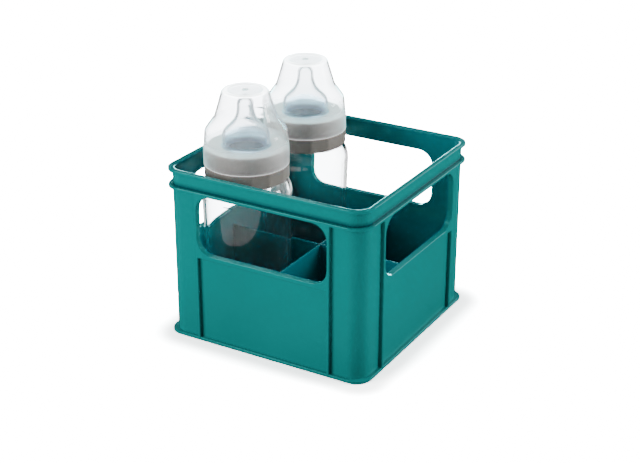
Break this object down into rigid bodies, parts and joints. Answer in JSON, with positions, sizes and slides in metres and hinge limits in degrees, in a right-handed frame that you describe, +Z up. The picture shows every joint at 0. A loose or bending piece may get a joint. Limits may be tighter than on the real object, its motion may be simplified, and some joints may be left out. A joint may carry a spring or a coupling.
{
  "type": "bottle crate",
  "caption": "Open moulded crate with a crossed divider, hand-grip windows and capped glass feeding bottles standing in its cells; bottles lift out, rings turn, teats and caps lift off.",
  "frame": {"origin": "middle of the crate's foot, on the surface it stands on", "axes": "+Z up, -Y the front, +X the side of the empty cells; the bottles stand on the -X side"},
  "size_m": [0.17, 0.17, 0.1889],
  "materials": {
    "crate_plastic": "glossy teal moulded polypropylene",
    "bottle_glass": "clear polished glass",
    "teat_silicone": "milky translucent silicone, satin",
    "ring_plastic": "taupe plastic, semi-gloss",
    "cap_plastic": "milky translucent polypropylene, semi-gloss"
  },
  "bodies": {
    "crate": {"crate": "crate_plastic"},
    "front_bottle": {"front_bottle": "bottle_glass"},
    "front_teat": {"front_teat": "teat_silicone"},
    "front_screw_ring": {"front_screw_ring": "ring_plastic"},
    "front_travel_cap": {"front_travel_cap": "cap_plastic"},
    "rear_bottle": {"rear_bottle": "bottle_glass"},
    "rear_teat": {"rear_teat": "teat_silicone"},
    "rear_screw_ring": {"rear_screw_ring": "ring_plastic"},
    "rear_travel_cap": {"rear_travel_cap": "cap_plastic"}
  },
  "joints": [
    {"name": "front_bottle_lift", "type": "slide", "parent": "crate", "child": "front_bottle", "axis": [0, 0, 1], "range_m": [0, 0.14]},
    {"name": "front_teat_lift", "type": "slide", "parent": "front_bottle", "child": "front_teat", "axis": [0, 0, 1], "range_m": [0, 0.05]},
    {"name": "front_ring_turn", "type": "hinge", "parent": "front_teat", "child": "front_screw_ring", "pos_m": [-0.03831, -0.04146, 0.13], "axis": [0, 0, 1], "range_deg": [0, 450]},
    {"name": "front_cap_lift", "type": "slide", "parent": "front_screw_ring", "child": "front_travel_cap", "axis": [0, 0, 1], "range_m": [0, 0.06]},
    {"name": "rear_bottle_lift", "type": "slide", "parent": "crate", "child": "rear_bottle", "axis": [0, 0, 1], "range_m": [0, 0.14]},
    {"name": "rear_teat_lift", "type": "slide", "parent": "rear_bottle", "child": "rear_teat", "axis": [0, 0, 1], "range_m": [0, 0.05]},
    {"name": "rear_ring_turn", "type": "hinge", "parent": "rear_teat", "child": "rear_screw_ring", "pos_m": [-0.03892, 0.04418, 0.13], "axis": [0, 0, 1], "range_deg": [0, 450]},
    {"name": "rear_cap_lift", "type": "slide", "parent": "rear_screw_ring", "child": "rear_travel_cap", "axis": [0, 0, 1], "range_m": [0, 0.06]}
  ]
}
